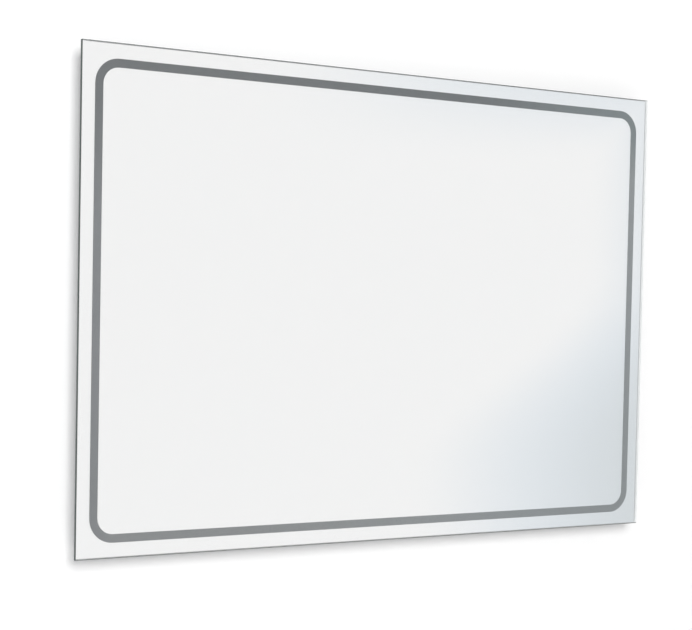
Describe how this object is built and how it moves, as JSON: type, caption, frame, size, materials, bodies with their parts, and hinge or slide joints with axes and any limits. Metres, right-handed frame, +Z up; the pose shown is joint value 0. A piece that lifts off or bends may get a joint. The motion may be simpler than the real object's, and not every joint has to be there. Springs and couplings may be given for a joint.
{
  "type": "lighted bathroom mirror",
  "caption": "Rectangular wall mirror with a sandblasted light band inside its edge, square glass corners, and a slim aluminium frame that hangs on a wall rail.",
  "frame": {"origin": "on the wall plane, midway along the screw line of the wall rail", "axes": "+X to the right as one faces the mirror, +Z up, the wall at +Y and the room at -Y"},
  "size_m": [1, 0.035, 0.7],
  "materials": {
    "float_glass": "polished",
    "silver": "polished",
    "anodised_aluminium": "satin",
    "mill_aluminium": "satin",
    "key_steel": "satin",
    "zinc_screw": "polished",
    "panel_white": "satin",
    "cover_white": "satin",
    "black_rubber": "matte",
    "foam_tape": "matte",
    "strip_white": "satin",
    "ribbon_white": "satin",
    "label_silver": "satin",
    "driver_white": "satin",
    "board_green": "satin",
    "ferrite": "matte",
    "can_aluminium": "satin",
    "copper_choke": "satin",
    "box_grey": "matte",
    "block_cream": "satin",
    "brass": "satin",
    "earth_brass": "satin",
    "brown_lead": "satin",
    "blue_lead": "satin",
    "green_yellow_lead": "satin",
    "red_lead": "satin",
    "black_lead": "satin",
    "clip_white": "satin"
  },
  "bodies": {
    "rail": {"wall_rail": "mill_aluminium"},
    "mirror": {"back_panel": "panel_white", "back_panel_screws": "zinc_screw", "cable_bush": "black_rubber", "channel_bush": "black_rubber", "corner_key_bottom_left": "key_steel", "corner_key_bottom_right": "key_steel", "corner_key_screws": "zinc_screw", "corner_key_top_left": "key_steel", "corner_key_top_right": "key_steel", "driver_board": "board_green", "driver_case": "driver_white", "driver_choke": "copper_choke", "driver_lid": "driver_white", "driver_screws": "zinc_screw", "driver_smoothing_cans": "can_aluminium", "driver_transformer": "ferrite", "earth_lead": "green_yellow_lead", "earth_nut": "earth_brass", "earth_screw": "earth_brass", "earth_tag": "earth_brass", "frame_bottom": "anodised_aluminium", "frame_left": "anodised_aluminium", "frame_right": "anodised_aluminium", "frame_top": "anodised_aluminium", "hanger_left": "mill_aluminium", "hanger_right": "mill_aluminium", "hanger_rivets": "mill_aluminium", "inner_foam_tape": "foam_tape", "lead_clips": "clip_white", "light_strip_bottom": "strip_white", "light_strip_left": "strip_white", "light_strip_right": "strip_white", "light_strip_top": "strip_white", "link_ribbon_bottom_right": "ribbon_white", "link_ribbon_top_left": "ribbon_white", "link_ribbon_top_right": "ribbon_white", "live_lead": "brown_lead", "mirror_glass": "float_glass", "negative_lead": "black_lead", "neutral_lead": "blue_lead", "outer_foam_tape": "foam_tape", "positive_lead": "red_lead", "rating_label": "label_silver", "silver_border": "silver", "silver_field": "silver", "terminal_block": "block_cream", "terminal_block_screws": "brass", "terminal_box": "box_grey", "terminal_box_cover": "cover_white", "terminal_cover_screws": "zinc_screw", "wall_pad_bottom_left": "black_rubber", "wall_pad_bottom_right": "black_rubber", "wall_pad_top_left": "black_rubber", "wall_pad_top_right": "black_rubber"}
  },
  "joints": [
    {"name": "lift_off", "type": "slide", "parent": "rail", "child": "mirror", "axis": [0, 0, 1], "range_m": [0, 0.012]}
  ]
}
